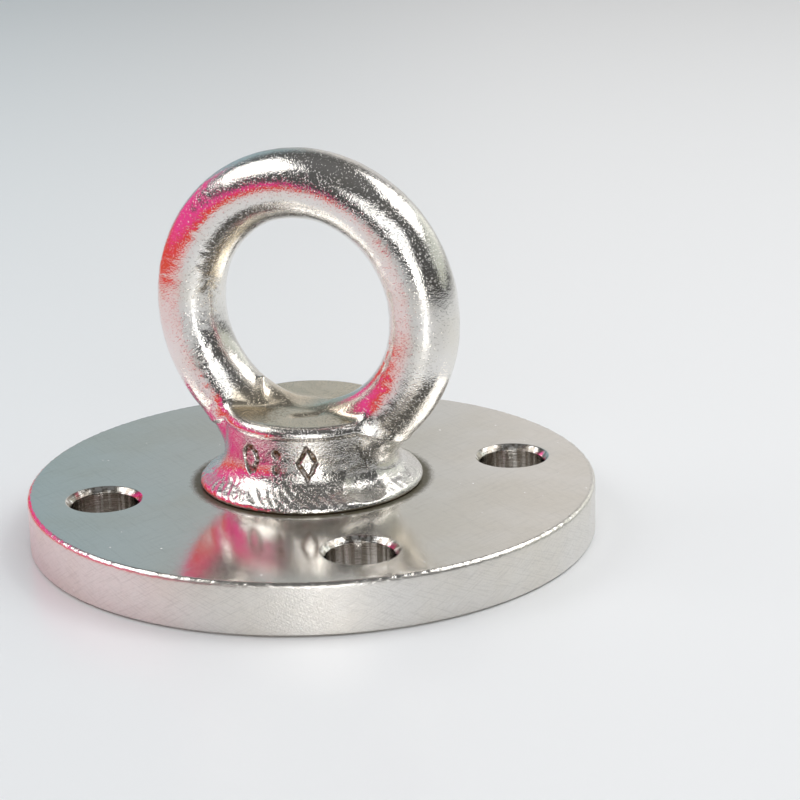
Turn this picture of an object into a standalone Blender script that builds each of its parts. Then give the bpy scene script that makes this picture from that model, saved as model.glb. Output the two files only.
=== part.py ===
"""Magnet fishing magnet: a round steel pot magnet with a screwed-in lifting eye.

The origin is the centre of the pot's magnetic face, which lies on z = 0. The eye stands along +Z, its
ring lies in the X-Z plane, and the eye bolt turns about the Z axis on a right-hand thread.
"""

from math import atan2, cos, hypot, pi, radians, sin, tan, tau

import bmesh
import bpy

MM = 0.001
GAP = 0.3 * MM  # running or assembly gap between neighbouring pieces

# Pot
POT_RADIUS = 45.0 * MM
POT_HEIGHT = 8.2 * MM
TOP_EDGE = 0.9 * MM
BOTTOM_EDGE = 0.4 * MM
SEAT_RADIUS = 17.5 * MM  # recess in the top face that takes the washer
SEAT_DEPTH = 0.9 * MM

# Bolt holes through the pot
HOLE_COUNT = 4
HOLE_CIRCLE_RADIUS = 33.2 * MM
HOLE_RADIUS = 5.2 * MM
HOLE_TOP_CHAMFER = 0.75 * MM
HOLE_BOTTOM_CHAMFER = 0.3 * MM
FIRST_HOLE_ANGLE = radians(37.8)

# Magnets in the underside
POCKET_DEPTH = 5.5 * MM
RING_POCKET_INNER = 10.8 * MM
RING_POCKET_OUTER = 24.0 * MM
SEGMENT_COUNT = 8
DISC_POCKET_RADIUS = 8.1 * MM
DISC_COUNT = 4
FACE_RECESS = 0.3 * MM  # how far the epoxy lies inside the magnetic face
EPOXY_SKIN = 0.6 * MM
EPOXY_WALL = 0.5 * MM

# Thread: M14 x 2, right-hand
THREAD_PITCH = 2.0 * MM
THREAD_MAJOR_RADIUS = 7.0 * MM
THREAD_DEPTH = 1.2 * MM
THREAD_PLAY = 0.15 * MM  # each side of the nominal radius
THREAD_CREST = 0.125  # share of the pitch
THREAD_ROOT = 0.25
SHANK_LENGTH = 7.7 * MM
SHANK_RELIEF = 1.0 * MM

# Eye bolt, heights measured from the pot's top face
RING_RADIUS = 20.1 * MM
RING_BAR_RADIUS = 5.4 * MM
RING_CENTRE_HEIGHT = 27.65 * MM
COLLAR_TOP = 12.35 * MM
COLLAR_RADIUS = 13.6 * MM
COLLAR_LIP = 1.3 * MM
FOOT_RADIUS = 18.1 * MM
FOOT_EDGE_TOP = 0.9 * MM
FLARE_BEND = 2.0 * MM  # hollow between the collar and the foot's slope
FLARE_SLOPE = radians(33)

# Washer
WASHER_INNER_RADIUS = 7.6 * MM
WASHER_THICKNESS = 0.6 * MM

ROUND_STEPS = 64
SMALL_STEPS = 24
THREAD_STEPS_PER_TURN = 24
THREAD_LEVELS_PER_PITCH = 8
MERGE = 1e-5
OVERSHOOT = 1.0 * MM  # how far a cutter runs past the face it opens

STEEL = ("nickel_plated_steel", (0.72, 0.71, 0.68, 1.0), 0.28, 1.0)
FORGED = ("nickel_plated_forging", (0.76, 0.75, 0.72, 1.0), 0.18, 1.0)
MAGNET = ("nickel_plated_magnet", (0.62, 0.62, 0.62, 1.0), 0.25, 1.0)
EPOXY = ("black_epoxy", (0.035, 0.036, 0.040, 1.0), 0.35, 0.0)
RUBBER = ("brown_rubber", (0.055, 0.040, 0.028, 1.0), 0.75, 0.0)


def clear_scene():
    for obj in list(bpy.data.objects):
        bpy.data.objects.remove(obj, do_unlink=True)


def new_collection(name):
    collection = bpy.data.collections.new(name)
    bpy.context.scene.collection.children.link(collection)
    return collection


def make_material(recipe):
    name, colour, roughness, metallic = recipe
    material = bpy.data.materials.new(name)
    material.use_nodes = True
    shader = material.node_tree.nodes["Principled BSDF"]
    shader.inputs["Base Color"].default_value = colour
    shader.inputs["Roughness"].default_value = roughness
    shader.inputs["Metallic"].default_value = metallic
    return material


def add_object(name, mesh, collection, material=None):
    obj = bpy.data.objects.new(name, mesh)
    collection.objects.link(obj)
    if material and not mesh.materials:
        mesh.materials.append(material)
    return obj


def make_tool(obj):
    """Mark an object as a cutter or as a shape that is joined to another."""
    obj.hide_render = True
    obj.display_type = "WIRE"


def turned(name, profile, collection, material=None, steps=ROUND_STEPS, closed=False):
    """Turn a profile of (radius, height) points about Z. It runs down its outer side."""
    mesh = bpy.data.meshes.new(name)
    count = len(profile)
    edges = [(i, i + 1) for i in range(count - 1)]
    if closed:
        edges.append((count - 1, 0))
    mesh.from_pydata([(radius, 0.0, height) for radius, height in profile], edges, [])
    obj = add_object(name, mesh, collection, material)
    screw = obj.modifiers.new("turn", "SCREW")
    screw.axis = "Z"
    screw.angle = tau
    screw.steps = steps
    screw.render_steps = steps
    screw.use_merge_vertices = True
    screw.merge_threshold = MERGE
    screw.use_smooth_shade = True
    return obj


def evaluated_mesh(obj, name):
    """The object's shape with its modifiers, as a plain welded mesh."""
    graph = bpy.context.evaluated_depsgraph_get()
    mesh = bpy.data.meshes.new_from_object(obj.evaluated_get(graph))
    mesh.name = name
    shape = bmesh.new()
    shape.from_mesh(mesh)
    bmesh.ops.remove_doubles(shape, verts=shape.verts, dist=MERGE)
    bmesh.ops.recalc_face_normals(shape, faces=shape.faces)
    shape.to_mesh(mesh)
    shape.free()
    return mesh


def baked(obj, collection):
    """Replace an object by a plain mesh object of the same shape."""
    name = obj.name
    mesh = evaluated_mesh(obj, name)
    matrix = obj.matrix_world.copy()
    bpy.data.objects.remove(obj, do_unlink=True)
    result = add_object(name, mesh, collection)
    result.matrix_world = matrix
    return result


def boolean(target, tool, operation):
    modifier = target.modifiers.new(tool.name, "BOOLEAN")
    modifier.operation = operation
    modifier.solver = "EXACT"
    modifier.object = tool


def arc(centre, radius, start, end, count):
    """Points of an arc in the (radius, height) plane."""
    points = []
    for i in range(count + 1):
        angle = start + (end - start) * i / count
        points.append((centre[0] + radius * cos(angle), centre[1] + radius * sin(angle)))
    return points


def on_circle(radius, angle):
    return (radius * cos(angle), radius * sin(angle), 0.0)


def hole_angles():
    return [FIRST_HOLE_ANGLE + tau * i / HOLE_COUNT for i in range(HOLE_COUNT)]


def disc_angles():
    return [FIRST_HOLE_ANGLE + tau * (i + 0.5) / DISC_COUNT for i in range(DISC_COUNT)]


# Thread


def thread_depth_at(phase):
    """Depth below the crest, from 0 to 1, at a share of the pitch from the crest's middle."""
    away = abs((phase + 0.5) % 1.0 - 0.5)
    flank = (1.0 - THREAD_CREST - THREAD_ROOT) / 2
    return min(max((away - THREAD_CREST / 2) / flank, 0.0), 1.0)


def threaded_rod(name, bottom, top, crest_radius, collection):
    """A rod whose side follows the right-hand helical thread between two heights."""
    levels = round((top - bottom) / THREAD_PITCH * THREAD_LEVELS_PER_PITCH)
    side = [(crest_radius, top + (bottom - top) * i / levels) for i in range(levels + 1)]
    profile = [(0.0, top)] + side + [(0.0, bottom)]
    rod = turned(name, profile, collection, steps=THREAD_STEPS_PER_TURN)
    rod = baked(rod, collection)
    for vertex in rod.data.vertices:
        x, y, height = vertex.co
        radius = hypot(x, y)
        if radius > MERGE:
            phase = height / THREAD_PITCH - atan2(y, x) / tau
            scale = 1.0 - THREAD_DEPTH * thread_depth_at(phase) / radius
            vertex.co = (x * scale, y * scale, height)
    make_tool(rod)
    return rod


# Pot


def pot_profile():
    top = POT_HEIGHT
    seat = top - SEAT_DEPTH
    return [
        (0.0, seat),
        (SEAT_RADIUS, seat),
        (SEAT_RADIUS, top),
        (POT_RADIUS - TOP_EDGE, top),
        *arc((POT_RADIUS - TOP_EDGE, top - TOP_EDGE), TOP_EDGE, radians(70), 0.0, 2),
        (POT_RADIUS, BOTTOM_EDGE),
        (POT_RADIUS - BOTTOM_EDGE, 0.0),
        (RING_POCKET_OUTER, 0.0),
        (RING_POCKET_OUTER, POCKET_DEPTH),
        (RING_POCKET_INNER, POCKET_DEPTH),
        (RING_POCKET_INNER, 0.0),
        (0.0, 0.0),
    ]


def bolt_hole_cutter(name, angle, collection):
    top_run = HOLE_TOP_CHAMFER + OVERSHOOT
    bottom_run = HOLE_BOTTOM_CHAMFER + OVERSHOOT
    profile = [
        (0.0, POT_HEIGHT + OVERSHOOT),
        (HOLE_RADIUS + top_run, POT_HEIGHT + OVERSHOOT),
        (HOLE_RADIUS, POT_HEIGHT - HOLE_TOP_CHAMFER),
        (HOLE_RADIUS, HOLE_BOTTOM_CHAMFER),
        (HOLE_RADIUS + bottom_run, -OVERSHOOT),
        (0.0, -OVERSHOOT),
    ]
    cutter = turned(name, profile, collection, steps=SMALL_STEPS)
    cutter.location = on_circle(HOLE_CIRCLE_RADIUS, angle)
    make_tool(cutter)
    return cutter


def disc_pocket_cutter(name, angle, collection):
    profile = [
        (0.0, POCKET_DEPTH),
        (DISC_POCKET_RADIUS, POCKET_DEPTH),
        (DISC_POCKET_RADIUS, -OVERSHOOT),
        (0.0, -OVERSHOOT),
    ]
    cutter = turned(name, profile, collection, steps=SMALL_STEPS)
    cutter.location = on_circle(HOLE_CIRCLE_RADIUS, angle)
    make_tool(cutter)
    return cutter


def build_pot(parts, tools, material):
    pot = turned("pot", pot_profile(), parts, material)
    for i, angle in enumerate(hole_angles(), 1):
        boolean(pot, bolt_hole_cutter(f"bolt_hole_{i}", angle, tools), "DIFFERENCE")
    for i, angle in enumerate(disc_angles(), 1):
        boolean(pot, disc_pocket_cutter(f"disc_pocket_{i}", angle, tools), "DIFFERENCE")
    top = POT_HEIGHT + OVERSHOOT
    tapping = threaded_rod("tapped_hole", -OVERSHOOT, top, THREAD_MAJOR_RADIUS + THREAD_PLAY, tools)
    boolean(pot, tapping, "DIFFERENCE")


# Eye bolt


def collar_profile():
    """Flat top, rounded lip, straight collar, sloping flare and a thin-edged foot."""
    base = POT_HEIGHT
    turn = pi / 2 - FLARE_SLOPE
    bend_end = COLLAR_RADIUS + FLARE_BEND * (1 - cos(turn))
    slope_drop = (FOOT_RADIUS - bend_end) * tan(FLARE_SLOPE)
    bend_height = base + FOOT_EDGE_TOP + slope_drop + FLARE_BEND * sin(turn)
    lip_centre = (COLLAR_RADIUS - COLLAR_LIP, base + COLLAR_TOP - COLLAR_LIP)
    return [
        (0.0, base + COLLAR_TOP),
        *arc(lip_centre, COLLAR_LIP, pi / 2, 0.0, 3),
        *arc((COLLAR_RADIUS + FLARE_BEND, bend_height), FLARE_BEND, pi, pi + turn, 4),
        (FOOT_RADIUS, base + FOOT_EDGE_TOP),
        (FOOT_RADIUS, base + 2 * GAP),
        (FOOT_RADIUS - GAP, base + GAP),
        (0.0, base + GAP),
    ]


def eye_ring(collection):
    bpy.ops.mesh.primitive_torus_add(
        location=(0.0, 0.0, POT_HEIGHT + RING_CENTRE_HEIGHT),
        rotation=(pi / 2, 0.0, 0.0),
        major_radius=RING_RADIUS,
        minor_radius=RING_BAR_RADIUS,
        major_segments=48,
        minor_segments=16,
    )
    ring = bpy.context.object
    ring.name = "eye_ring"
    ring.data.shade_smooth()
    for owner in list(ring.users_collection):
        owner.objects.unlink(ring)
    collection.objects.link(ring)
    make_tool(ring)
    return ring


def shank(collection):
    """The threaded rod, with a plain neck that runs up into the foot."""
    foot = POT_HEIGHT + GAP
    root_radius = THREAD_MAJOR_RADIUS - THREAD_PLAY - THREAD_DEPTH
    rod_top = foot - SHANK_RELIEF
    rod = threaded_rod("shank_thread", foot - SHANK_LENGTH, rod_top, root_radius + THREAD_DEPTH, collection)
    neck = turned(
        "shank_neck",
        [
            (0.0, foot + OVERSHOOT),
            (root_radius, foot + OVERSHOOT),
            (root_radius, rod_top - OVERSHOOT),
            (0.0, rod_top - OVERSHOOT),
        ],
        collection,
        steps=THREAD_STEPS_PER_TURN,
    )
    make_tool(neck)
    return rod, neck


def build_eye_bolt(parts, tools, material):
    bolt = turned("eye_bolt", collar_profile(), parts, material, steps=48)
    rod, neck = shank(tools)
    boolean(bolt, eye_ring(tools), "UNION")
    boolean(bolt, neck, "UNION")
    boolean(bolt, rod, "UNION")


def build_washer(parts, material):
    outer = SEAT_RADIUS - GAP
    bottom = POT_HEIGHT - SEAT_DEPTH + GAP
    top = bottom + WASHER_THICKNESS
    profile = [
        (WASHER_INNER_RADIUS, top),
        (outer, top),
        (outer, bottom),
        (WASHER_INNER_RADIUS, bottom),
    ]
    turned("collar_washer", profile, parts, material, closed=True)


# Magnets and potting


def magnet_bottom():
    return FACE_RECESS + EPOXY_SKIN + GAP


def magnet_top():
    return POCKET_DEPTH - GAP


def sector(name, inner, outer, side_gap, bottom, top, collection):
    """A flat ring sector, one share of the ring wide less a straight gap on each side."""
    half_share = pi / SEGMENT_COUNT
    count = 6
    outline = []
    for radius, direction in ((outer, 1), (inner, -1)):
        half = half_share - side_gap / radius
        for i in range(count + 1):
            angle = direction * half * (2 * i / count - 1)
            outline.append((radius * cos(angle), radius * sin(angle)))
    curve = bpy.data.curves.new(name, "CURVE")
    curve.dimensions = "2D"
    curve.fill_mode = "BOTH"
    curve.extrude = (top - bottom) / 2
    spline = curve.splines.new("POLY")
    spline.points.add(len(outline) - 1)
    for point, (x, y) in zip(spline.points, outline):
        point.co = (x, y, 0.0, 1.0)
    spline.use_cyclic_u = True
    obj = bpy.data.objects.new(name, curve)
    collection.objects.link(obj)
    bpy.context.view_layer.update()
    mesh = evaluated_mesh(obj, name)
    for vertex in mesh.vertices:
        vertex.co.z += (top + bottom) / 2
    bpy.data.objects.remove(obj, do_unlink=True)
    return mesh


def build_ring_magnets(parts, tools, magnet, epoxy):
    """Eight segments around the core, and the epoxy that fills between and under them."""
    inner = RING_POCKET_INNER + GAP
    outer = RING_POCKET_OUTER - GAP
    bottom, top = magnet_bottom(), magnet_top()
    rib = EPOXY_WALL / 2
    segment = sector("magnet_segment", inner, outer, rib + GAP, bottom, top, parts)
    segment.materials.append(magnet)
    room_bottom, room_top = bottom - GAP, top + OVERSHOOT
    room = sector("segment_room", inner - OVERSHOOT, outer + OVERSHOOT, rib, room_bottom, room_top, tools)
    profile = [(inner, top), (outer, top), (outer, FACE_RECESS), (inner, FACE_RECESS)]
    potting = turned("ring_potting", profile, parts, epoxy, closed=True)
    for i in range(SEGMENT_COUNT):
        angle = tau * i / SEGMENT_COUNT
        add_object(f"magnet_segment_{i + 1}", segment, parts).rotation_euler.z = angle
        cutter = add_object(f"segment_room_{i + 1}", room, tools)
        cutter.rotation_euler.z = angle
        make_tool(cutter)
        boolean(potting, cutter, "DIFFERENCE")


def build_disc_magnets(parts, magnet, epoxy):
    """A disc between each pair of bolt holes, in a thin cup of epoxy."""
    outer = DISC_POCKET_RADIUS - GAP
    inner = outer - EPOXY_WALL
    bottom, top = magnet_bottom(), magnet_top()
    cup = [
        (0.0, bottom - GAP),
        (inner, bottom - GAP),
        (inner, top),
        (outer, top),
        (outer, FACE_RECESS),
        (0.0, FACE_RECESS),
    ]
    disc = [(0.0, top), (inner - GAP, top), (inner - GAP, bottom), (0.0, bottom)]
    for i, angle in enumerate(disc_angles(), 1):
        place = on_circle(HOLE_CIRCLE_RADIUS, angle)
        turned(f"disc_potting_{i}", cup, parts, epoxy, steps=SMALL_STEPS).location = place
        turned(f"disc_magnet_{i}", disc, parts, magnet, steps=SMALL_STEPS).location = place


def main():
    clear_scene()
    parts = new_collection("magnet_fishing_magnet")
    tools = new_collection("cutters")
    materials = {recipe[0]: make_material(recipe) for recipe in (STEEL, FORGED, MAGNET, EPOXY, RUBBER)}
    build_pot(parts, tools, materials[STEEL[0]])
    build_eye_bolt(parts, tools, materials[FORGED[0]])
    build_washer(parts, materials[RUBBER[0]])
    build_ring_magnets(parts, tools, materials[MAGNET[0]], materials[EPOXY[0]])
    build_disc_magnets(parts, materials[MAGNET[0]], materials[EPOXY[0]])


main()
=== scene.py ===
"""The looks of a magnet fishing magnet: a nickel-plated pot with a forged lifting eye.

Everything is in metres in the CAD model's frame: the magnetic face lies on z = 0, the eye stands along +Z
and its ring lies in the X-Z plane.
"""

from itertools import product
from math import atan2, cos, hypot, pi, radians, sin, tan, tau

import bmesh
import bpy
import numpy as np
from mathutils import Matrix, Vector, noise


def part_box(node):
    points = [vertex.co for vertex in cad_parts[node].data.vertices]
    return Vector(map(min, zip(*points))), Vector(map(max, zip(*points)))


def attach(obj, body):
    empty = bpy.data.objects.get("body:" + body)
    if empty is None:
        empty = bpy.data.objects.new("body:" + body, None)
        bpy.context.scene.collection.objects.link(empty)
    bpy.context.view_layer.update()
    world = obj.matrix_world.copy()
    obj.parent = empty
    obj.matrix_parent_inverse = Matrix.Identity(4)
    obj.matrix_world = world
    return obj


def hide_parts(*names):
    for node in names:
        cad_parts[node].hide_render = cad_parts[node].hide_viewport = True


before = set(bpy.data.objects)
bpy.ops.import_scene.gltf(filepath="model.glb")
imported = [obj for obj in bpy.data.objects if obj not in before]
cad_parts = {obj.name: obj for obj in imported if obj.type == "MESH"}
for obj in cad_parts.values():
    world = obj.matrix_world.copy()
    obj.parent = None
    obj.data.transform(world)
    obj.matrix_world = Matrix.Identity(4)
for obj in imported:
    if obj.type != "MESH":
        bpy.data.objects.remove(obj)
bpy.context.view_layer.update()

MM = 0.001

# Sizes read from the frame
POT_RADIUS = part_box("pot")[1].x
POT_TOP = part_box("pot")[1].z
EYE_LOW, EYE_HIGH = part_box("eye_bolt")
FOOT_RADIUS = EYE_HIGH.y - 0.4 * MM
WASHER_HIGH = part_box("collar_washer")[1]

# Eye bolt
RING_BAR_RADIUS = 5.4 * MM
RING_RADIUS = EYE_HIGH.x - RING_BAR_RADIUS
RING_CENTRE = EYE_HIGH.z - EYE_HIGH.x
COLLAR_RADIUS = 13.6 * MM
COLLAR_TOP = POT_TOP + 12.35 * MM
LIP_BOTTOM = COLLAR_TOP - 1.6 * MM
LIP_LEAN = radians(20)
LIP_ROUNDING = 1.1 * MM
NECK_RADIUS = 13.25 * MM
FOOT_BOTTOM = POT_TOP + 0.12 * MM
FOOT_EDGE_TOP = POT_TOP + 0.9 * MM
FLARE_SLOPE = radians(33)
FLARE_BLEND = 2.4 * MM
THREAD_PITCH = 2.0 * MM
THREAD_RADIUS = 6.85 * MM
THREAD_DEPTH = 1.2 * MM
SHANK_BOTTOM = EYE_LOW.z
FORGING_STEP = 0.34 * MM
BORE_RISE = 60.0  # how fast the floor of the ring's bore rises from its middle, per metre

# Pot
TOP_EDGE = 0.7 * MM
BOTTOM_EDGE = 0.4 * MM
SEAT_RADIUS = 17.5 * MM
SEAT_FLOOR = POT_TOP - 0.9 * MM
HOLE_CIRCLE = 33.2 * MM
HOLE_RADIUS = 5.2 * MM
HOLE_CHAMFER = 0.75 * MM
FIRST_HOLE = radians(37.8)
POCKET_TOP = 5.5 * MM
RING_POCKET_INNER = 10.8 * MM
RING_POCKET_OUTER = 24.0 * MM
DISC_POCKET_RADIUS = 8.1 * MM
TAPPED_RADIUS = 7.15 * MM
POTTING_GAP = 0.05 * MM
POT_STEPS = 1080
HOLE_STEPS = 96

# Camera
CAMERA_AZIMUTH = radians(26.3)
CAMERA_ELEVATION = radians(20.75)
CAMERA_DISTANCE = 370 * MM
CAMERA_PAN = radians(-2.26)
CAMERA_TILT = radians(3.02)
CAMERA_ROLL = radians(2.28)
CAMERA_LENS = 103.5
AIM = Vector((0, 0, RING_CENTRE))


# Mesh tools


def make_object(name, mesh, material):
    obj = bpy.data.objects.new(name, mesh)
    bpy.context.scene.collection.objects.link(obj)
    if material:
        mesh.materials.clear()
        mesh.materials.append(material)
    return obj


def remove(obj):
    bpy.data.objects.remove(obj, do_unlink=True)


def cut_away(target, cutter):
    """Cut the target with a closed mesh. The cutter is used up."""
    modifier = target.modifiers.new("cut", "BOOLEAN")
    modifier.operation = "DIFFERENCE"
    modifier.solver = "MANIFOLD"
    modifier.object = cutter
    bpy.context.view_layer.update()
    graph = bpy.context.evaluated_depsgraph_get()
    mesh = bpy.data.meshes.new_from_object(target.evaluated_get(graph))
    target.modifiers.clear()
    target.data = mesh
    remove(cutter)


def turned_mesh(name, profile, steps, closed, shape):
    """Turn a profile of (radius, height) about Z, running down its outer side.

    shape(angle, radius, height) may return a changed radius and height for a point.
    """
    points, rows = [], []
    for radius, height in profile:
        if radius < 1e-9:
            rows.append([len(points)] * steps)
            points.append((0.0, 0.0, height))
            continue
        rows.append(list(range(len(points), len(points) + steps)))
        for i in range(steps):
            angle = tau * i / steps
            r, z = shape(angle, radius, height) if shape else (radius, height)
            points.append((r * cos(angle), r * sin(angle), z))
    pairs = list(zip(rows, rows[1:]))
    if closed:
        pairs.append((rows[-1], rows[0]))
    faces = []
    for upper, lower in pairs:
        for i in range(steps):
            j = (i + 1) % steps
            corners = [upper[j], upper[i], lower[i], lower[j]]
            faces.append(list(dict.fromkeys(corners)))
    mesh = bpy.data.meshes.new(name)
    mesh.from_pydata(points, [], faces)
    mesh.validate()
    return mesh


def turned(name, profile, steps, material=None, closed=False, shape=None, place=(0, 0, 0)):
    obj = make_object(name, turned_mesh(name, profile, steps, closed, shape), material)
    obj.location = place
    return obj


def arc(centre, radius, start, end, count):
    """Points of an arc in the (radius, height) plane."""
    angles = [start + (end - start) * i / count for i in range(count + 1)]
    return [(centre[0] + radius * cos(a), centre[1] + radius * sin(a)) for a in angles]


def on_circle(radius, angle, height=0.0):
    return Vector((radius * cos(angle), radius * sin(angle), height))


def shade(obj, sharp_angle):
    """Smooth shading that keeps flat faces flat."""
    obj.data.shade_smooth()
    obj.data.set_sharp_from_angle(angle=sharp_angle)
    weighted = obj.modifiers.new("normals", "WEIGHTED_NORMAL")
    weighted.keep_sharp = True
    weighted.weight = 100


def smoothstep(low, high, value):
    t = np.clip((value - low) / (high - low), 0.0, 1.0)
    return t * t * (3 - 2 * t)


def coordinates(mesh):
    flat = np.empty(len(mesh.vertices) * 3)
    mesh.vertices.foreach_get("co", flat)
    return flat.reshape(-1, 3)


def noise_at(points, size, seed):
    """Smooth noise between -1 and 1 with features of about the given size."""
    offset = Vector((seed * 13.7, seed * 5.3, seed * 9.1))
    return np.array([noise.noise(Vector(p) / size + offset) for p in points])


# Shader tools


class Surface:
    """A Principled material with a few short ways to add nodes."""

    def __init__(self, name, colour, roughness, metallic):
        self.material = bpy.data.materials.new(name)
        self.material.use_nodes = True
        self.tree = self.material.node_tree
        self.shader = self.tree.nodes["Principled BSDF"]
        self.shader.inputs["Base Color"].default_value = (*colour, 1.0)
        self.shader.inputs["Roughness"].default_value = roughness
        self.shader.inputs["Metallic"].default_value = metallic
        self.place = self.tree.nodes.new("ShaderNodeTexCoord").outputs["Object"]

    def put(self, socket, value):
        if isinstance(value, bpy.types.NodeSocket):
            self.tree.links.new(value, socket)
        else:
            socket.default_value = value

    def node(self, kind, inputs, output, **settings):
        node = self.tree.nodes.new("ShaderNode" + kind)
        for key, value in settings.items():
            setattr(node, key, value)
        for key, value in inputs.items():
            self.put(node.inputs[key], value)
        return node.outputs[output]

    def stretched(self, scale):
        return self.node("Mapping", {"Vector": self.place, "Scale": scale}, "Vector")

    def noise(self, size, detail=3.0, roughness=0.5, distortion=0.0, vector=None):
        inputs = {
            "Vector": vector or self.place,
            "Scale": 1.0 / size,
            "Detail": detail,
            "Roughness": roughness,
            "Distortion": distortion,
        }
        return self.node("TexNoise", inputs, "Fac")

    def cells(self, size):
        return self.node("TexVoronoi", {"Vector": self.place, "Scale": 1.0 / size}, "Distance")

    def ranged(self, value, low, high, to_low=0.0, to_high=1.0):
        inputs = {"Value": value, "From Min": low, "From Max": high, "To Min": to_low, "To Max": to_high}
        return self.node("MapRange", inputs, "Result", interpolation_type="SMOOTHSTEP")

    def math(self, operation, a, b):
        node = self.tree.nodes.new("ShaderNodeMath")
        node.operation = operation
        self.put(node.inputs[0], a)
        self.put(node.inputs[1], b)
        return node.outputs[0]

    def mix(self, share, a, b):
        node = self.tree.nodes.new("ShaderNodeMix")
        node.data_type = "RGBA"
        self.put(node.inputs["Factor"], share)
        self.put(node.inputs["A"], a if isinstance(a, bpy.types.NodeSocket) else (*a, 1.0))
        self.put(node.inputs["B"], b if isinstance(b, bpy.types.NodeSocket) else (*b, 1.0))
        return node.outputs["Result"]

    def attribute(self, name):
        return self.node("Attribute", {}, "Fac", attribute_name=name)

    def bump(self, height, depth, normal=None):
        inputs = {"Height": height, "Distance": depth, "Strength": 1.0}
        if normal:
            inputs["Normal"] = normal
        return self.node("Bump", inputs, "Normal")

    def finish(self, colour=None, roughness=None, normal=None, metallic=None):
        if colour:
            self.put(self.shader.inputs["Base Color"], colour)
        if roughness:
            self.put(self.shader.inputs["Roughness"], roughness)
        if normal:
            self.put(self.shader.inputs["Normal"], normal)
        if metallic:
            self.put(self.shader.inputs["Metallic"], metallic)
        return self.material


# Colours
NICKEL = (0.80, 0.78, 0.75)
NICKEL_WARM = (0.76, 0.72, 0.65)
NICKEL_YELLOWED = (0.78, 0.70, 0.56)
NICKEL_SHADED = (0.62, 0.58, 0.53)
SCRATCHED = (0.45, 0.44, 0.42)
SIDE_SCRATCHED = (0.50, 0.48, 0.45)
# Bore colours: painted shade, and painted highlight streaks down the bores
BORE_PAINTED_SHADE = (0.42, 0.38, 0.33)
BORE_PAINTED_HIGHLIGHT = (0.98, 0.96, 0.92)
GRIME = (0.045, 0.032, 0.020)
RUST = (0.20, 0.12, 0.06)
# Darker colour of an uneven ring on the pot just outside the eye's foot
DARK_RING = (0.115, 0.10, 0.062)
DUST = (0.85, 0.85, 0.83)
MAGNET = (0.66, 0.66, 0.65)
EPOXY = (0.03, 0.031, 0.034)
EPOXY_DARK = (0.022, 0.023, 0.026)
EPOXY_PALE = (0.060, 0.060, 0.062)
RUBBER = (0.10, 0.065, 0.035)
RUBBER_DARK = (0.030, 0.022, 0.015)
RUBBER_WORN = (0.17, 0.11, 0.055)
FLOOR = (0.80, 0.81, 0.825)
WALL_TEAL = (0.35, 0.46, 0.50)
WALL_GREY = (0.45, 0.48, 0.48)
WALL_PALE = (0.76, 0.74, 0.72)
WALL_TINT = (0.95, 1.0, 0.90)
CARD_RED = (0.80, 0.075, 0.045)
CARD_MAGENTA = (0.95, 0.07, 0.34)

# Sizes and depths of the marks on each surface
BLOTCH_SIZE = 6 * MM
GRAIN_SIZE, GRAIN_DEPTH = 0.24 * MM, 0.03 * MM
PORE_SIZE, PORE_DEPTH = 0.33 * MM, 0.022 * MM
PEEL_SIZE, PEEL_DEPTH = 1.1 * MM, 0.02 * MM
GRIME_PATCH = 0.45 * MM
LINE_SCALE, LINE_DEPTH = 0.5 / MM, 0.006 * MM
CLOUD_SIZE = 18 * MM
HAZE_SIZE, HAZE_DEPTH = 0.9 * MM, 0.004 * MM
DUST_SPACING, DUST_PATCH = 2.2 * MM, 7 * MM
DARK_RING_UNEVENNESS, DARK_RING_SPREAD = 0.7 * MM, 1.6 * MM
SCRATCH_WIDTH, SCRATCH_DEPTH = 0.3 * MM, 0.0025 * MM
SCRATCH_ANGLES = (radians(35), radians(-70))
SIDE_SCRATCH_WIDTH, SIDE_SCRATCH_DEPTH = 0.22 * MM, 0.02 * MM
SIDE_SCRATCH_ANGLES = (radians(24), radians(-31))
EDGE_DENT_SIZE, EDGE_DENT_DEPTH = 0.3 * MM, 0.035 * MM
TOOL_MARK_SIZE, TOOL_MARK_DEPTH = 0.06 * MM, 0.03 * MM
# The second size is the width of the painted highlight streaks down the bores
BORE_TONE_SIZE, HIGHLIGHT_STREAK_WIDTH = 1.5 * MM, 0.9 * MM
FLOW_SIZE, FLOW_DEPTH = 7 * MM, 0.12 * MM
BUBBLE_SPACING, BUBBLE_DEPTH = 2.6 * MM, 0.05 * MM
EPOXY_DUST_SIZE = 0.5 * MM
MAGNET_HAZE_SIZE, MAGNET_HAZE_DEPTH = 0.8 * MM, 0.01 * MM
WEAR_SIZE, WEAR_DEPTH = 2.5 * MM, 0.08 * MM


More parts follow.
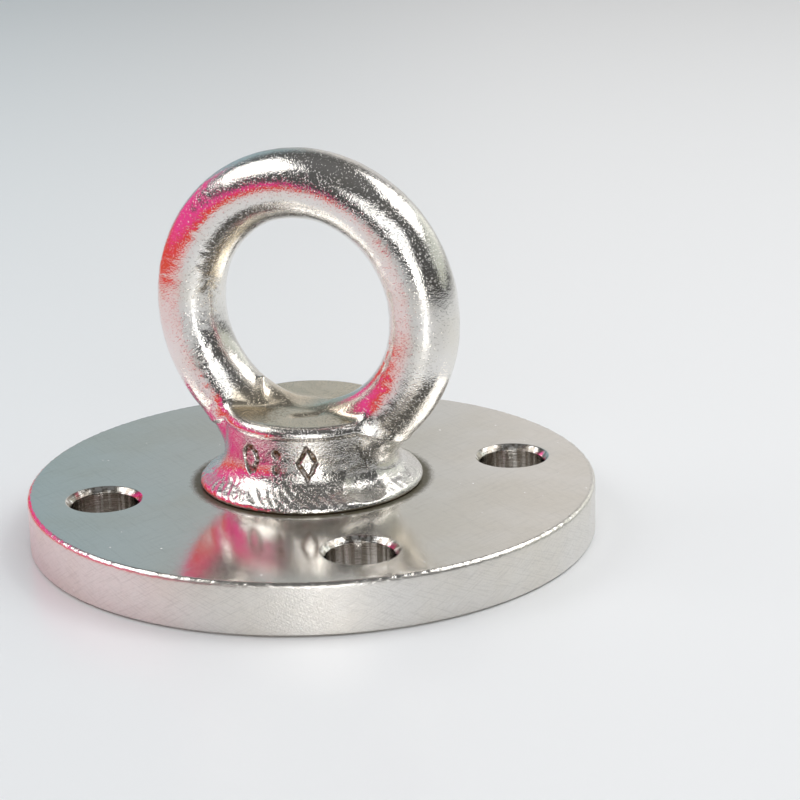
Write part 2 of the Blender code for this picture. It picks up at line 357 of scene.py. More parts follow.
def forged_nickel():
    """Bright nickel over a coarse forged skin, duller and warmer on the flat top of the collar."""
    s = Surface("forged_nickel", NICKEL, 0.1, 1.0)
    grime = s.attribute("grime")
    dull = s.attribute("dull")
    coarse = s.attribute("coarse")
    blotch = s.noise(BLOTCH_SIZE, detail=4.0)
    grain = s.noise(GRAIN_SIZE, detail=1.0)
    pores = s.ranged(s.noise(PORE_SIZE, detail=1.0), 0.56, 0.72)
    peel = s.noise(PEEL_SIZE, detail=1.0)
    tone = s.mix(s.ranged(blotch, 0.35, 0.7, 0.0, 0.6), NICKEL, NICKEL_WARM)
    tone = s.mix(dull, tone, NICKEL_YELLOWED)
    grime = s.math("MULTIPLY", grime, s.ranged(s.noise(GRIME_PATCH), 0.35, 0.6, 0.4, 1.0))
    rust = s.mix(s.ranged(grain, 0.4, 0.6), GRIME, RUST)
    colour = s.mix(grime, tone, rust)
    shine = s.ranged(blotch, 0.3, 0.75, 0.08, 0.16)
    shine = s.math("ADD", shine, s.math("MULTIPLY", dull, 0.1))
    roughness = s.math("ADD", shine, s.math("MULTIPLY", grime, 0.3))
    wave = {"Vector": s.place, "Scale": LINE_SCALE, "Distortion": 1.5}
    lines = s.node("TexWave", wave, "Fac", wave_type="RINGS", rings_direction="Z")
    rough_grain = s.math("MULTIPLY", grain, s.math("ADD", s.math("MULTIPLY", coarse, 0.5), 1.0))
    rough_grain = s.math("MULTIPLY", rough_grain, s.math("SUBTRACT", 1.0, s.math("MULTIPLY", dull, 0.7)))
    normal = s.bump(peel, PEEL_DEPTH)
    normal = s.bump(s.math("MULTIPLY", lines, dull), LINE_DEPTH, normal)
    normal = s.bump(rough_grain, GRAIN_DEPTH, normal)
    normal = s.bump(s.math("MULTIPLY", pores, s.math("ADD", coarse, 1.0)), PORE_DEPTH, normal)
    return s.finish(colour, roughness, normal)


def around_axis(s):
    """The distance from the Z axis, and a vector that runs along the pot's side and up it."""
    axes = s.tree.nodes.new("ShaderNodeSeparateXYZ")
    s.put(axes.inputs[0], s.place)
    x, y, z = axes.outputs
    square = s.math("ADD", s.math("MULTIPLY", x, x), s.math("MULTIPLY", y, y))
    along = s.math("MULTIPLY", s.math("ARCTAN2", y, x), POT_RADIUS)
    side = s.node("CombineXYZ", {"X": along, "Y": z}, "Vector")
    return s.math("POWER", square, 0.5), side


def scratches(s, vector, angle, size):
    """Fine lines at an angle in a plane, each about twenty times as long as it is wide."""
    turned_vector = s.node("Mapping", {"Vector": vector, "Rotation": (0, 0, angle)}, "Vector")
    drawn = s.node("Mapping", {"Vector": turned_vector, "Scale": (0.05, 1, 1)}, "Vector")
    return s.noise(size, detail=2.0, vector=drawn)


def dark_ring_around_foot(s, radius):
    """1 in an uneven dark ring on the pot, just outside the eye's foot."""
    uneven = s.math("MULTIPLY", s.noise(DARK_RING_UNEVENNESS, detail=4.0, roughness=0.7), DARK_RING_SPREAD)
    inner, outer = FOOT_RADIUS + 1.4 * MM, FOOT_RADIUS + 2.9 * MM
    dark_ring = s.ranged(s.math("ADD", radius, uneven), inner, outer, 1.0, 0.0)
    return s.math("MULTIPLY", dark_ring, s.ranged(radius, SEAT_RADIUS - 1.0 * MM, SEAT_RADIUS))


def satin_nickel():
    """Nickel over a ground steel face, with fine scratches, dust and a darker uneven ring around the eye's
    foot.
    """
    s = Surface("satin_nickel", NICKEL, 0.24, 1.0)
    radius, side = around_axis(s)
    cloud = s.noise(CLOUD_SIZE, detail=5.0)
    haze = s.noise(HAZE_SIZE, detail=4.0, roughness=0.6)
    dust = s.ranged(s.cells(DUST_SPACING), 0.05, 0.10, 1.0, 0.0)
    dust = s.math("MULTIPLY", dust, s.ranged(s.noise(DUST_PATCH), 0.5, 0.6))
    dark_ring = dark_ring_around_foot(s, radius)
    colour = s.mix(s.ranged(cloud, 0.35, 0.7, 0.0, 0.8), NICKEL, NICKEL_WARM)
    # Darken the pot in an uneven ring just outside the eye's foot
    colour = s.mix(dark_ring, colour, DARK_RING)
    colour = s.mix(dust, colour, DUST)
    metallic = s.math("SUBTRACT", 1.0, s.math("MAXIMUM", dust, s.math("MULTIPLY", dark_ring, 0.6)))
    roughness = s.math("ADD", s.ranged(haze, 0.3, 0.75, 0.09, 0.15), s.ranged(cloud, 0.35, 0.7, 0.0, 0.05))
    roughness = s.math("ADD", roughness, s.math("MULTIPLY", dark_ring, 0.3))
    normal = s.bump(haze, HAZE_DEPTH)
    for angle in SCRATCH_ANGLES:
        marks = scratches(s, s.place, angle, SCRATCH_WIDTH)
        normal = s.bump(marks, SCRATCH_DEPTH, normal)
        colour = s.mix(s.ranged(marks, 0.5, 0.72, 0.0, 0.10), colour, SCRATCHED)
    on_edge = s.ranged(radius, POT_RADIUS - 1.15 * TOP_EDGE, POT_RADIUS - 0.9 * TOP_EDGE)
    on_side = s.ranged(radius, POT_RADIUS - 0.3 * MM, POT_RADIUS - 0.1 * MM)
    dents = s.math("MULTIPLY", s.noise(EDGE_DENT_SIZE, detail=1.0), on_edge)
    normal = s.bump(dents, EDGE_DENT_DEPTH, normal)
    for angle in SIDE_SCRATCH_ANGLES:
        marks = scratches(s, side, angle, SIDE_SCRATCH_WIDTH)
        normal = s.bump(s.math("MULTIPLY", marks, on_side), SIDE_SCRATCH_DEPTH, normal)
        seen = s.math("MULTIPLY", s.ranged(marks, 0.5, 0.68), s.math("MULTIPLY", on_side, 0.24))
        colour = s.mix(seen, colour, SIDE_SCRATCHED)
    roughness = s.math("ADD", roughness, s.math("MULTIPLY", on_edge, 0.08))
    roughness = s.math("ADD", roughness, s.math("MULTIPLY", on_side, 0.12))
    return s.finish(colour, roughness, normal, metallic)


def cut_nickel():
    """Nickel over a drilled bore, with fine marks around it; its colour is painted shade with painted
    highlight streaks down it.
    """
    s = Surface("cut_nickel", NICKEL_SHADED, 0.1, 1.0)
    marks = s.noise(TOOL_MARK_SIZE, detail=1.0, vector=s.stretched((0.02, 0.02, 1)))
    tone = s.noise(BORE_TONE_SIZE, detail=3.0)
    highlight_streaks = s.noise(HIGHLIGHT_STREAK_WIDTH, detail=2.0, vector=s.stretched((1, 1, 0.03)))
    # Painted shade of the bore, with painted highlight streaks running down it
    colour = s.mix(s.ranged(highlight_streaks, 0.42, 0.66), BORE_PAINTED_SHADE, BORE_PAINTED_HIGHLIGHT)
    return s.finish(colour, s.ranged(tone, 0.3, 0.7, 0.05, 0.12), s.bump(marks, TOOL_MARK_DEPTH))


def black_epoxy():
    """Poured epoxy with soft flow waves, bubbles and dust."""
    s = Surface("black_epoxy", EPOXY, 0.3, 0.0)
    flow = s.noise(FLOW_SIZE, detail=3.0, distortion=0.6)
    dust = s.noise(EPOXY_DUST_SIZE, detail=4.0)
    bubbles = s.ranged(s.cells(BUBBLE_SPACING), 0.05, 0.16)
    colour = s.mix(s.ranged(flow, 0.35, 0.7), EPOXY_DARK, EPOXY_PALE)
    roughness = s.ranged(dust, 0.3, 0.7, 0.22, 0.42)
    normal = s.bump(bubbles, BUBBLE_DEPTH, s.bump(flow, FLOW_DEPTH))
    return s.finish(colour, roughness, normal)


def magnet_nickel():
    s = Surface("magnet_nickel", MAGNET, 0.2, 1.0)
    haze = s.noise(MAGNET_HAZE_SIZE, detail=4.0)
    roughness = s.ranged(haze, 0.3, 0.7, 0.14, 0.28)
    return s.finish(roughness=roughness, normal=s.bump(haze, MAGNET_HAZE_DEPTH))


def washer_rubber():
    s = Surface("washer_rubber", RUBBER, 0.7, 0.0)
    wear = s.noise(WEAR_SIZE, detail=5.0)
    colour = s.mix(s.ranged(wear, 0.3, 0.7), RUBBER_DARK, RUBBER_WORN)
    return s.finish(colour, s.ranged(wear, 0.3, 0.7, 0.55, 0.85), s.bump(wear, WEAR_DEPTH))


# Eye bolt: the forging is a smooth blend of a ring, a collar and a sloping foot


def blend(a, b, width):
    """Smooth union of two distance fields."""
    h = np.clip(0.5 + 0.5 * (b - a) / width, 0.0, 1.0)
    return b + (a - b) * h - width * h * (1 - h)


def cut(a, b, width):
    """Smooth intersection of two distance fields."""
    return -blend(-a, -b, width)


def ring_field(x, y, z):
    return np.hypot(np.hypot(x, z - RING_CENTRE) - RING_RADIUS, y) - RING_BAR_RADIUS


def collar_field(r, z):
    """A neck under a wider lip, whose side leans in towards the flat top."""
    side = (r - COLLAR_RADIUS) * cos(LIP_LEAN) + (z - LIP_BOTTOM) * sin(LIP_LEAN)
    lip = cut(cut(z - COLLAR_TOP, side, LIP_ROUNDING), LIP_BOTTOM - z, 0.3 * MM)
    neck = cut(r - NECK_RADIUS, z - LIP_BOTTOM - 0.5 * MM, 0.2 * MM)
    return blend(lip, neck, 0.3 * MM)


def foot_field(r, z):
    slope = (r - FOOT_RADIUS) * sin(FLARE_SLOPE) + (z - FOOT_EDGE_TOP) * cos(FLARE_SLOPE)
    return cut(slope, r - FOOT_RADIUS, 0.5 * MM)


# Places on the collar are given by their angle from the camera's side and their height above the pot
FRONT = CAMERA_AZIMUTH - pi / 2
STAMP_HEIGHT = 6.8 * MM
STAMP_DEPTH = 0.42 * MM
STAMP_ANGLES = (radians(-45), radians(-24), radians(-3))
STAMP_RING_RADIUS, STAMP_RING_STROKE = 1.4 * MM, 0.27 * MM
STAMP_DOT_RADIUS, STAMP_DOT_RISE = 0.62 * MM, 1.25 * MM
STAMP_LOZENGE_SIZE, STAMP_LOZENGE_STROKE = 1.9 * MM, 0.25 * MM

# Flaws of the forging: a dent in its foot, a burr beside the ring's bore, pits in the ring and a nick in the
# flat top of the collar
DENT_CENTRE = on_circle(15.3 * MM, FRONT + radians(32), POT_TOP + 2.9 * MM)
DENT_RADIUS = 3.4 * MM
BURR = (Vector((-8.3, -0.2, 23.5)) * MM, Vector((-6.7, -2.9, 20.8)) * MM)
PITS = Vector((-21.0, -4.4, 40.8)) * MM
NICK = (Vector((0.9, -6.6, 20.6)) * MM, Vector((3.6, -4.5, 20.6)) * MM)

# How far the marks of the forged skin stand out or go in, in millimetres
LUMP = 0.06
SMALL_LUMP = 0.025
COLLAR_DIMPLE = 0.03
FLARE_DIMPLE = 0.07
RIDGE = 0.05
BURR_HEIGHT = 0.9
PIT_DEPTH = 0.2
NICK_DEPTH = 0.3
DENT_DEPTH = 0.65
RIDGE_SPACING = 1.6 * MM
RIDGE_WAVER = 3.5


def stamp_shapes(across, up):
    """Distances to the three plain punch marks: a ring, two dots and a lozenge."""
    ring = np.abs(np.hypot(across[0], up * 0.8) - STAMP_RING_RADIUS) - STAMP_RING_STROKE
    dots = np.hypot(across[1], np.abs(up) - STAMP_DOT_RISE) - STAMP_DOT_RADIUS
    outline = np.abs(across[2]) * 1.25 + np.abs(up) * 0.8 - STAMP_LOZENGE_SIZE
    lozenge = np.abs(outline) * 0.8 - STAMP_LOZENGE_STROKE
    return np.minimum(np.minimum(ring, dots), lozenge)


def stamp_depth(x, y, z):
    """How deep the punch marks are at each point, from 0 to 1."""
    turn = np.arctan2(y, x) - FRONT
    across = [turn_between(turn, angle) * COLLAR_RADIUS for angle in STAMP_ANGLES]
    distance = stamp_shapes(across, z - POT_TOP - STAMP_HEIGHT)
    distance = distance + 0.26 * MM * noise_at(np.stack([x, y, z], axis=1), 0.8 * MM, 4)
    near = np.hypot(x, y) > COLLAR_RADIUS - 2 * MM
    return np.where(near, 1 - smoothstep(-0.12 * MM, 0.22 * MM, distance), 0.0)


def turn_between(a, b):
    return (a - b + pi) % tau - pi


def forging_field(points):
    """Distance to the forging's surface, negative inside."""
    x, y, z = points.T
    r = np.hypot(x, y)
    body = cut(blend(collar_field(r, z), foot_field(r, z), FLARE_BLEND), FOOT_BOTTOM - z, 0.3 * MM)
    outward = smoothstep(8 * MM, 14 * MM, np.abs(x))
    below = smoothstep(COLLAR_TOP + MM, COLLAR_TOP - 4 * MM, z)
    # The ring meets the collar sharply in its bore and with a wide sweep on its outside
    width = (0.6 + 2.0 * outward + 1.6 * outward * below) * MM
    whole = blend(body, ring_field(x, y, z), width)
    in_bore = (np.abs(x) < 12 * MM) & (z < RING_CENTRE - 8 * MM)
    bore_floor = np.where(in_bore, z - COLLAR_TOP - 0.2 * MM - BORE_RISE * x**2, -MM)
    return cut(whole, bore_floor, 0.2 * MM)


def field_gradient(field, points):
    step = 0.02 * MM
    columns = []
    for axis in range(3):
        shift = np.zeros(3)
        shift[axis] = step
        columns.append((field(points + shift) - field(points - shift)) / (2 * step))
    return np.stack(columns, axis=1)


def settle(points, field):
    """Move points onto the field's surface in small steps, and return them with their normals."""
    rounds, limit = 4, 0.2 * MM
    for _ in range(rounds):
        slope = field_gradient(field, points)
        steep = np.maximum((slope**2).sum(axis=1, keepdims=True), 0.05)
        move = field(points)[:, None] * slope / steep
        length = np.linalg.norm(move, axis=1, keepdims=True)
        points = points - move * np.minimum(1.0, limit / np.maximum(length, 1e-9))
    slope = field_gradient(field, points)
    return points, slope / np.maximum(np.linalg.norm(slope, axis=1, keepdims=True), 1e-9)


def sign_surface(field, low, high, step):
    """Points and quads of a stepped surface where a field changes sign on a grid of cubes."""
    axes = [np.arange(a, b, step) for a, b in zip(low, high)]
    grid = np.stack(np.meshgrid(*axes, indexing="ij"), axis=-1)
    inside = (field(grid.reshape(-1, 3)) < 0).reshape(grid.shape[:3])
    columns, rows, layers = (size - 1 for size in inside.shape)
    filled = np.zeros((columns, rows, layers), int)
    for i, j, k in product((0, 1), repeat=3):
        filled += inside[i : i + columns, j : j + rows, k : k + layers]
    crossed = (filled > 0) & (filled < 8)
    index = np.full(filled.shape, -1)
    index[crossed] = np.arange(crossed.sum())
    points = grid[:-1, :-1, :-1][crossed] + step / 2
    return points, np.concatenate([sign_quads(inside, index, axis) for axis in range(3)])


def sign_quads(inside, index, axis):
    """One quad around each grid edge along an axis whose ends lie on either side of the surface."""
    near = np.take(inside, range(inside.shape[axis] - 1), axis)
    far = np.take(inside, range(1, inside.shape[axis]), axis)
    places = np.argwhere(near != far)
    corners = []
    for across, up in ((0, 0), (-1, 0), (-1, -1), (0, -1)):
        cell = places.copy()
        cell[:, (axis + 1) % 3] += across
        cell[:, (axis + 2) % 3] += up
        corners.append(index[tuple(cell.T)])
    quads = np.stack(corners, axis=1)
    inward = ~near[tuple(places.T)]
    quads[inward] = quads[inward][:, ::-1]
    return quads


def relaxed(points, quads):
    """Points moved to the middle of their neighbours."""
    ends = np.concatenate([quads[:, [i, (i + 1) % 4]] for i in range(4)])
    count = np.bincount(ends[:, 0], minlength=len(points))
    columns = [np.bincount(ends[:, 0], points[ends[:, 1], axis], len(points)) for axis in range(3)]
    return np.stack(columns, axis=1) / count[:, None]


def forging_mesh():
    """The smooth forging, before its lumps and marks."""
    low = (-EYE_HIGH.x - MM, -FOOT_RADIUS - MM, FOOT_BOTTOM - MM)
    high = (EYE_HIGH.x + MM, FOOT_RADIUS + MM, EYE_HIGH.z + MM)
    points, quads = sign_surface(forging_field, low, high, FORGING_STEP)
    for _ in range(3):
        points, _ = settle(relaxed(points, quads), forging_field)
    mesh = bpy.data.meshes.new("forging")
    mesh.from_pydata(points.tolist(), [], quads.tolist())
    return mesh


def refine_stamps(mesh):
    """Split the faces around the punch marks, so that the marks come out crisp."""
    margin = 0.25
    half_height = 3.2 * MM
    shape = bmesh.new()
    shape.from_mesh(mesh)
    for _ in range(2):
        edges = set()
        for face in shape.faces:
            x, y, z = face.calc_center_median()
            turn = turn_between(atan2(y, x), FRONT)
            marked = STAMP_ANGLES[0] - margin < turn < STAMP_ANGLES[2] + margin
            level = abs(z - POT_TOP - STAMP_HEIGHT) < half_height
            if marked and level and hypot(x, y) > COLLAR_RADIUS - 1 * MM:
                edges.update(face.edges)
        bmesh.ops.subdivide_edges(shape, edges=list(edges), cuts=1, use_grid_fill=True)
    shape.to_mesh(mesh)
    shape.free()


def near_line(points, start, end, width):
    """1 on a short line, falling smoothly to 0 around it."""
    start, end = np.array(start), np.array(end)
    along = np.clip((points - start) @ (end - start) / ((end - start) @ (end - start)), 0, 1)
    away = np.linalg.norm(points - start - along[:, None] * (end - start), axis=1)
    return np.exp(-((away / width) ** 2))


def hammer_ridges(turn, z, lumps):
    """Slanting ridges around the front left of the foot, from -1 to 1."""
    left = smoothstep(radians(-75), radians(-60), turn)
    right = smoothstep(radians(22), radians(8), turn)
    along = turn * 15 * MM + (z - POT_TOP) * 1.4
    return left * right * np.sin(along / RIDGE_SPACING * tau + RIDGE_WAVER * lumps / LUMP)


def dent_bowl(points, fine):
    """A shallow uneven bowl around the dent's centre, from 1 in its middle to 0 at its rim."""
    away = np.linalg.norm(points - np.array(DENT_CENTRE), axis=1) / DENT_RADIUS
    return np.clip(1 - away**2, 0, 1) * (1 + 0.25 * fine)


def forging_relief(points):
    """Lumps, tool marks and punch marks of the forged skin, as heights along the normal."""
    x, y, z = points.T
    r = np.hypot(x, y)
    turn = turn_between(np.arctan2(y, x), FRONT)
    lumps = LUMP * noise_at(points, 5 * MM, 1) + SMALL_LUMP * noise_at(points, 1.8 * MM, 2)
    on_flare = smoothstep(14.2 * MM, 15 * MM, r) * smoothstep(18.0 * MM, 17.2 * MM, r)
    on_collar = smoothstep(COLLAR_TOP - 1 * MM, COLLAR_TOP - 5 * MM, z)
    ridges = on_flare * hammer_ridges(turn, z, lumps)
    stamps = stamp_depth(x, y, z)
    fine = noise_at(points, 1.0 * MM, 3)
    dimples = (COLLAR_DIMPLE * on_collar + FLARE_DIMPLE * on_flare) * fine
    burr = near_line(points, *BURR, 0.6 * MM)
    pits = near_line(points, PITS, PITS + Vector((0, 0, MM)), 1.3 * MM) * smoothstep(0.0, 0.5, fine)
    nick = near_line(points, *NICK, 0.7 * MM)
    height = lumps + dimples + RIDGE * ridges + BURR_HEIGHT * burr
    height = height - PIT_DEPTH * pits - NICK_DEPTH * nick - DENT_DEPTH * dent_bowl(points, fine)
    return height * MM - STAMP_DEPTH * stamps, stamps


def shank_mesh():
    """The threaded shank with a plain neck, as a closed turned mesh."""
    top = FOOT_BOTTOM + 1.0 * MM
    thread_top = FOOT_BOTTOM - 1.0 * MM
    step = 0.1 * MM
    count = round((top - SHANK_BOTTOM) / step)
    profile = [(0.0, top)]
    profile += [(THREAD_RADIUS, top - (top - SHANK_BOTTOM) * i / count) for i in range(count + 1)]
    profile.append((0.0, SHANK_BOTTOM))

    def shape(angle, radius, height):
        depth = THREAD_DEPTH * thread_depth(height / THREAD_PITCH - angle / tau)
        lead_in = max(THREAD_DEPTH - (height - SHANK_BOTTOM), 0.0)
        run_out = min(max(height - thread_top, 0.0), THREAD_DEPTH)
        return radius - max(depth, lead_in, run_out), height

    return turned("shank", profile, 120, shape=shape)


def thread_depth(phase):
    """Depth of a 60 degree thread below its crest, from 0 to 1."""
    away = abs((phase + 0.5) % 1.0 - 0.5)
    return min(max((away - 0.0625) / 0.3125, 0.0), 1.0)


def paint(mesh, name, values):
    mesh.attributes.new(name, "FLOAT", "POINT").data.foreach_set("value", values)


def add_shell(target, shell):
    """Put another closed mesh into the target's mesh. The shell's object is used up."""
    shape = bmesh.new()
    shape.from_mesh(target.data)
    shape.from_mesh(shell.data)
    shape.to_mesh(target.data)
    shape.free()
    remove(shell)


def build_eye_bolt(material):
    mesh = forging_mesh()
    refine_stamps(mesh)
    points, normals = settle(coordinates(mesh), forging_field)
    height, stamps = forging_relief(points)
    mesh.vertices.foreach_set("co", (points + normals * height[:, None]).ravel())
    forging = make_object("forged_eye_bolt", mesh, material)
    dull = smoothstep(13.0 * MM, 11.5 * MM, np.hypot(points[:, 0], points[:, 1]))
    dull = dull * smoothstep(4 * MM, 1 * MM, np.abs(points[:, 2] - COLLAR_TOP))
    coarse = smoothstep(COLLAR_TOP + 2 * MM, COLLAR_TOP - 3 * MM, points[:, 2])
    add_shell(forging, shank_mesh())
    shank_points = np.zeros(len(mesh.vertices) - len(points))
    paint(mesh, "grime", np.concatenate([np.clip(stamps * 1.2, 0, 1), shank_points]))
    paint(mesh, "dull", np.concatenate([dull, shank_points]))
    paint(mesh, "coarse", np.concatenate([coarse, shank_points]))
    mesh.shade_smooth()
    mesh.set_sharp_from_angle(angle=radians(50))
    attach(forging, "eye_body")
    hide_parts("eye_bolt")


# Pot


def worn_edge(angle, radius, height):
    """Small uneven wear of the pot's upper edge."""
    away = hypot(radius - POT_RADIUS + TOP_EDGE / 3, height - POT_TOP + TOP_EDGE / 3)
    share = max(1 - away / (0.9 * TOP_EDGE), 0.0)
    if share == 0.0:
        return radius, height
    point = Vector((radius * cos(angle), radius * sin(angle), height)) / MM
    wear = 0.05 * noise.noise(point / 1.3) + 0.06 * noise.noise(point / 0.55) - 0.03
    return radius + wear * share * MM, height + wear * share * MM


def pot_profile():
    return [
        (0.0, SEAT_FLOOR),
        (SEAT_RADIUS, SEAT_FLOOR),
        (SEAT_RADIUS, POT_TOP - 0.1 * MM),
        (SEAT_RADIUS + 0.1 * MM, POT_TOP),
        (POT_RADIUS - 2.5 * TOP_EDGE, POT_TOP),
        (POT_RADIUS - 1.3 * TOP_EDGE, POT_TOP),
        *arc((POT_RADIUS - TOP_EDGE, POT_TOP - TOP_EDGE), TOP_EDGE, pi / 2, 0.0, 7),
        (POT_RADIUS, POT_TOP - 1.5 * TOP_EDGE),
        (POT_RADIUS, POT_TOP - 2.5 * TOP_EDGE),
        (POT_RADIUS, BOTTOM_EDGE),
        (POT_RADIUS - BOTTOM_EDGE, 0.0),
        (RING_POCKET_OUTER, 0.0),
        (RING_POCKET_OUTER, POCKET_TOP),
        (RING_POCKET_INNER, POCKET_TOP),
        (RING_POCKET_INNER, 0.0),
        (0.0, 0.0),
    ]


def hole_angles(half_step=0.0):
    return [FIRST_HOLE + tau * (i + half_step) / 4 for i in range(4)]


def cut_bolt_hole(pot, angle):
    soft, lower_chamfer = 0.15 * MM, 0.3 * MM
    rim = HOLE_RADIUS + HOLE_CHAMFER
    profile = [
        (0.0, POT_TOP + MM),
        (rim + 2 * soft, POT_TOP + MM),
        (rim + soft, POT_TOP),
        (rim, POT_TOP - 0.4 * soft),
        (HOLE_RADIUS + soft, POT_TOP - HOLE_CHAMFER + soft * 0.6),
        (HOLE_RADIUS, POT_TOP - HOLE_CHAMFER - soft),
        (HOLE_RADIUS, lower_chamfer),
        (HOLE_RADIUS + lower_chamfer, 0.0),
        (HOLE_RADIUS + lower_chamfer + MM, -MM),
        (0.0, -MM),
    ]
    cut_away(pot, turned("cutter", profile, HOLE_STEPS, place=on_circle(HOLE_CIRCLE, angle)))


def cut_disc_pocket(pot, angle):
    profile = [(0.0, POCKET_TOP), (DISC_POCKET_RADIUS, POCKET_TOP), (DISC_POCKET_RADIUS, -MM), (0.0, -MM)]
    cut_away(pot, turned("cutter", profile, HOLE_STEPS, place=on_circle(HOLE_CIRCLE, angle)))


def cut_thread(pot):
    bottom, top, step = -MM, POT_TOP + MM, 0.125 * MM
    count = round((top - bottom) / step)
    heights = [top - (top - bottom) * i / count for i in range(count + 1)]
    profile = [(0.0, top)] + [(TAPPED_RADIUS, h) for h in heights] + [(0.0, bottom)]

    def shape(angle, radius, height):
        depth = THREAD_DEPTH * thread_depth(height / THREAD_PITCH - angle / tau)
        mouth = min(abs(height), abs(height - SEAT_FLOOR))
        inside = 0.0 < height < SEAT_FLOOR
        open_depth = max(mouth - 0.3 * MM, 0.0) if inside else 0.0
        return radius - min(depth, open_depth), height

    cut_away(pot, turned("cutter", profile, HOLE_STEPS, shape=shape))


def build_pot(skin, bore):
    pot = turned("machined_pot", pot_profile(), POT_STEPS, shape=worn_edge)
    for angle in hole_angles():
        cut_bolt_hole(pot, angle)
    for angle in hole_angles(0.5):
        cut_disc_pocket(pot, angle)
    cut_thread(pot)
    pot.data.materials.clear()
    pot.data.materials.append(skin)
    pot.data.materials.append(bore)
    centres = [on_circle(HOLE_CIRCLE, angle) for angle in hole_angles()]
    for face in pot.data.polygons:
        near = min((Vector((*face.center[:2], 0)) - centre).length for centre in centres)
        face.material_index = int(near < HOLE_RADIUS + HOLE_CHAMFER)
    shade(pot, radians(28))
    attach(pot, "pot_body")
    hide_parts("pot")


# Washer, potting and magnets


def build_washer(material):
    bottom, top = SEAT_FLOOR + 0.03 * MM, FOOT_BOTTOM - 0.02 * MM
    inner, outer, soft = 7.6 * MM, WASHER_HIGH.x, 0.15 * MM
    profile = [
        (inner, top),
        (outer - soft, top),
        (outer, top - soft),
        (outer, bottom + soft),
        (outer - soft, bottom),
        (inner, bottom),
    ]
    washer = turned("sealing_washer", profile, 192, material, closed=True)
    shade(washer, radians(40))
    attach(washer, "washer_body")
    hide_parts("collar_washer")


def meniscus(inner, outer, low, high, count):
    """A hollow epoxy surface that climbs a little at its walls, from outside to inside."""
    climb = 0.5 * MM
    points = []
    for i in range(count + 1):
        share = i / count
        radius = outer + (inner - outer) * share
        wall = min(radius - inner if inner else outer, outer - radius)
        points.append((radius, low + (high - low) * (1 - np.exp(-max(wall, 0) / climb))))
    return points


def build_potting(name, node, inner, outer, steps, material, place):
    base, top, thickness = 0.12 * MM, 0.34 * MM, 0.6 * MM
    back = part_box(node)[0].z + thickness
    profile = [(inner, back), (outer, back)] + meniscus(inner, outer, base, top, 14)
    potting = turned(name, profile, steps, material, closed=inner > 0, place=place)
    shade(potting, radians(40))
    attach(potting, "pot_body")
    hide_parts(node)


def dress_magnets(material):
    for name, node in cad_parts.items():
        if name.startswith(("magnet_segment", "disc_magnet")):
            for slot in node.material_slots:
                slot.material = material


# Studio


def place_camera():
    data = bpy.data.cameras.new("camera")
    data.sensor_width = 36
    data.lens = CAMERA_LENS
    camera = bpy.data.objects.new("camera", data)
    bpy.context.scene.collection.objects.link(camera)
    level = Vector((0, -cos(CAMERA_ELEVATION), sin(CAMERA_ELEVATION)))
    back = Matrix.Rotation(CAMERA_AZIMUTH, 4, "Z") @ level
    aim = (-back).to_track_quat("-Z", "Y").to_matrix()
    pan = Matrix.Rotation(CAMERA_PAN, 3, "Y")
    tilt = Matrix.Rotation(CAMERA_TILT, 3, "X")
    roll = Matrix.Rotation(-CAMERA_ROLL, 3, "Z")
    turn = (aim @ pan @ tilt @ roll).to_quaternion()
    camera.matrix_world = Matrix.LocRotScale(back * CAMERA_DISTANCE, turn, None)
    bpy.context.scene.camera = camera


def direction(azimuth, elevation):
    """A direction seen from the object: azimuth 0 is the camera's side, and positive is to its right."""
    turn = CAMERA_AZIMUTH - pi / 2 + radians(azimuth)
    level = radians(elevation)
    return Vector((cos(turn) * cos(level), sin(turn) * cos(level), sin(level)))


def panel(name, azimuth, elevation, width, height, radiance, colour=(1, 1, 1), distance=0.8):
    """A soft light aimed at the eye, with its width and height given in degrees as seen from there."""
    data = bpy.data.lights.new(name, "AREA")
    data.shape = "RECTANGLE"
    data.size = 2 * distance * tan(radians(width) / 2)
    data.size_y = 2 * distance * tan(radians(height) / 2)
    data.energy = radiance * data.size * data.size_y * pi
    data.color = colour
    light = bpy.data.objects.new(name, data)
    bpy.context.scene.collection.objects.link(light)
    away = direction(azimuth, elevation)
    light.location = AIM + away * distance
    light.rotation_mode = "QUATERNION"
    light.rotation_quaternion = away.to_track_quat("Z", "Y")
    return light


def build_floor():
    s = Surface("floor", FLOOR, 0.3, 0.0)
    mesh = bpy.data.meshes.new("floor")
    size = 3.0
    corners = [(-size, -size, 0), (size, -size, 0), (size, size, 0), (-size, size, 0)]
    mesh.from_pydata(corners, [], [(0, 1, 2, 3)])
    floor = make_object("floor", mesh, s.material)
    floor.location.z = -0.02 * MM


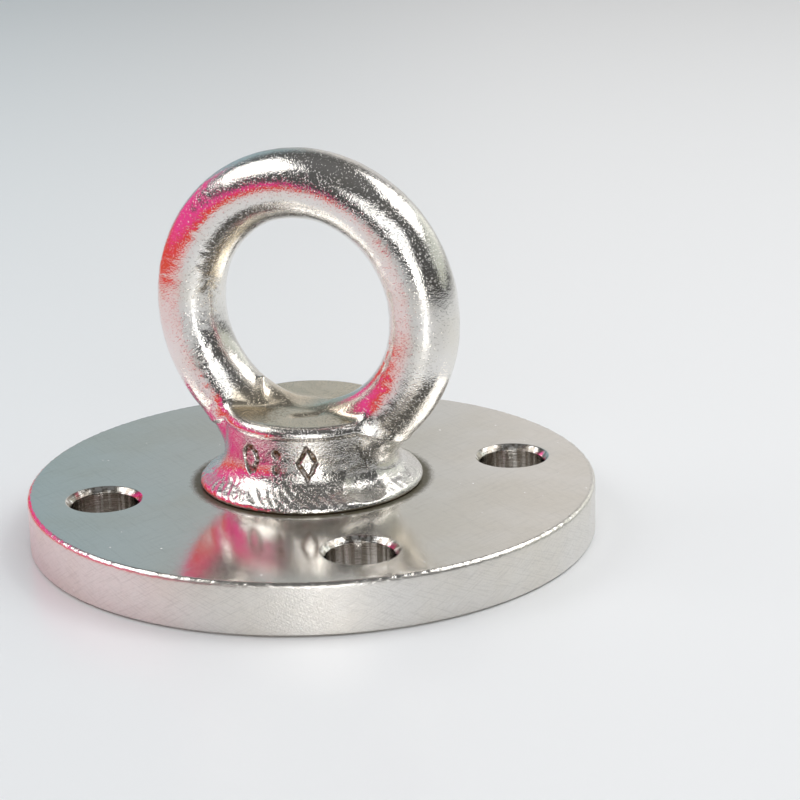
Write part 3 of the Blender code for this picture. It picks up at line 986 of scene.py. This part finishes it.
def build_world():
    """A dim room with a wall behind the object, teal on its left and pale on its right."""
    world = bpy.data.worlds.new("studio")
    bpy.context.scene.world = world
    world.use_nodes = True
    tree = world.node_tree
    place = tree.nodes.new("ShaderNodeTexCoord")
    turn = tree.nodes.new("ShaderNodeMapping")
    turn.inputs["Rotation"].default_value = (0, 0, -CAMERA_AZIMUTH)
    axes = tree.nodes.new("ShaderNodeSeparateXYZ")
    tree.links.new(place.outputs["Generated"], turn.inputs["Vector"])
    tree.links.new(turn.outputs["Vector"], axes.inputs[0])
    right, beyond, up = axes.outputs
    behind = ramp(tree, beyond, ((0.0, 0.0), (0.7, 0.05), (0.92, 1.0)))
    low = ramp(tree, up, ((0.0, 1.0), (0.7, 1.0), (0.87, 0.0)))
    left_half = ((0.3, WALL_TEAL), (0.43, WALL_TEAL), (0.49, WALL_GREY))
    wall = ramp(tree, right, (*left_half, (0.55, WALL_PALE), (0.8, 0.64)))
    room = ramp(tree, up, ((0.5, 0.08), (0.55, 0.08), (0.9, 0.12), (1.0, 0.16)))
    share = tree.nodes.new("ShaderNodeMath")
    share.operation = "MULTIPLY"
    tree.links.new(behind, share.inputs[0])
    tree.links.new(low, share.inputs[1])
    mix = tree.nodes.new("ShaderNodeMix")
    mix.data_type = "RGBA"
    tree.links.new(share.outputs[0], mix.inputs["Factor"])
    tree.links.new(room, mix.inputs["A"])
    tree.links.new(wall, mix.inputs["B"])
    tree.links.new(mix.outputs["Result"], tree.nodes["Background"].inputs["Color"])


def ramp(tree, value, stops):
    """Colours along a value, whose stops run from 0 at a value of -1 to 1 at a value of 1."""
    spread = tree.nodes.new("ShaderNodeMapRange")
    spread.inputs["From Min"].default_value = -1.0
    tree.links.new(value, spread.inputs["Value"])
    node = tree.nodes.new("ShaderNodeValToRGB")
    tree.links.new(spread.outputs[0], node.inputs[0])
    elements = node.color_ramp.elements
    while len(elements) < len(stops):
        elements.new(0.5)
    for element, (position, level) in zip(elements, stops):
        element.position = position
        element.color = (*level, 1) if isinstance(level, tuple) else (level, level, level, 1)
    return node.outputs["Color"]


def build_lights():
    panel("left_softbox", azimuth=-98, elevation=45, width=40, height=32, radiance=2.4)
    panel("right_softbox", azimuth=103, elevation=48, width=46, height=34, radiance=2.4)
    panel("front_softbox", azimuth=-3, elevation=26, width=44, height=26, radiance=1.5)
    panel("right_wall", azimuth=110, elevation=17, width=70, height=20, radiance=0.6, colour=WALL_TINT)
    low_light = panel("low_light", azimuth=3, elevation=6, width=13, height=10, radiance=11.0, distance=0.5)
    low_light.visible_diffuse = False
    floor_light = panel(
        "floor_light", azimuth=80, elevation=74, width=60, height=60, radiance=1.42, distance=1.0
    )
    floor_light.visible_glossy = False
    colour_card("red_card", 0.0, 0.052, 0.056, CARD_RED)
    colour_card("magenta_card", 0.052, 0.085, 0.150, CARD_MAGENTA)


def colour_card(name, bottom, top_near, top_far, colour):
    """A curved card to the left, seen only in reflections, that rises away from the camera."""
    start, end, steps, radius = -48, -150, 24, 0.24
    points, faces = [], []
    for i in range(steps + 1):
        share = i / steps
        away = direction(start + (end - start) * share, 0) * radius
        points.append((away.x, away.y, bottom))
        points.append((away.x, away.y, top_near + (top_far - top_near) * share))
    for i in range(steps):
        faces.append((2 * i, 2 * i + 1, 2 * i + 3, 2 * i + 2))
    mesh = bpy.data.meshes.new(name)
    mesh.from_pydata(points, [], faces)
    s = Surface(name, (0, 0, 0), 1.0, 0.0)
    s.shader.inputs["Emission Color"].default_value = (*colour, 1)
    s.shader.inputs["Emission Strength"].default_value = 1.0
    card = make_object(name, mesh, s.material)
    card.visible_camera = False
    card.visible_shadow = False
    card.visible_diffuse = False


def main():
    bpy.context.scene.view_settings.view_transform = "Standard"
    epoxy = black_epoxy()
    build_eye_bolt(forged_nickel())
    build_pot(satin_nickel(), cut_nickel())
    build_washer(washer_rubber())
    ring_inner, ring_outer = RING_POCKET_INNER + POTTING_GAP, RING_POCKET_OUTER - POTTING_GAP
    disc_outer = DISC_POCKET_RADIUS - POTTING_GAP
    build_potting("ring_epoxy", "ring_potting", ring_inner, ring_outer, 192, epoxy, (0, 0, 0))
    for i, angle in enumerate(hole_angles(0.5), 1):
        place = on_circle(HOLE_CIRCLE, angle)
        build_potting(f"disc_epoxy_{i}", f"disc_potting_{i}", 0.0, disc_outer, 96, epoxy, place)
    dress_magnets(magnet_nickel())
    build_floor()
    build_world()
    build_lights()
    place_camera()


main()
